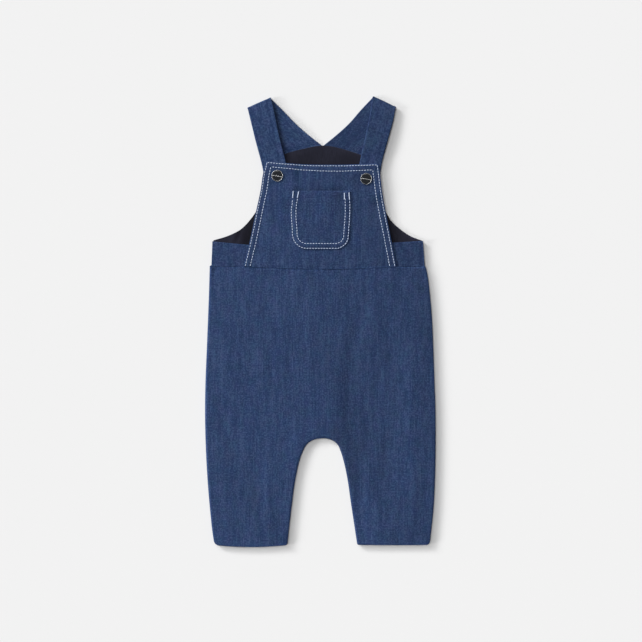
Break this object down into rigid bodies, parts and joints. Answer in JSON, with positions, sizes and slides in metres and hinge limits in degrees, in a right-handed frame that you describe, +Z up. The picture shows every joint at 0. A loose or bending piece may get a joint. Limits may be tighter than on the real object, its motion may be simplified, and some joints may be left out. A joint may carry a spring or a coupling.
{
  "type": "kids dungarees",
  "caption": "Child's denim dungarees laid flat, front up: bib with a patch pocket, folded shoulder straps on press snaps, and straight legs.",
  "frame": {"origin": "middle of the garment's outline, on the surface that it lies on", "axes": "+Y from the hems towards the shoulders, +X to the right of someone looking down at the front, +Z up out of the front"},
  "size_m": [0.2662, 0.5185, 0.0082],
  "materials": {
    "denim": "mid-blue light denim with fine upright slubs and white twin-needle stitching",
    "lining": "dark navy cotton jersey",
    "snap_metal": "polished silver-coloured metal",
    "snap_enamel": "glossy black enamel"
  },
  "bodies": {
    "root": {"front_trousers": "denim", "back_trousers": "denim", "back_bodice": "denim", "back_lining": "lining", "bib": "denim", "pocket": "denim", "side_band_left": "denim", "side_band_right": "denim", "strap_left": "denim", "strap_right": "denim", "snap_cup_left": "snap_metal", "snap_cup_right": "snap_metal", "snap_face_left": "snap_enamel", "snap_face_right": "snap_enamel"}
  },
  "joints": []
}
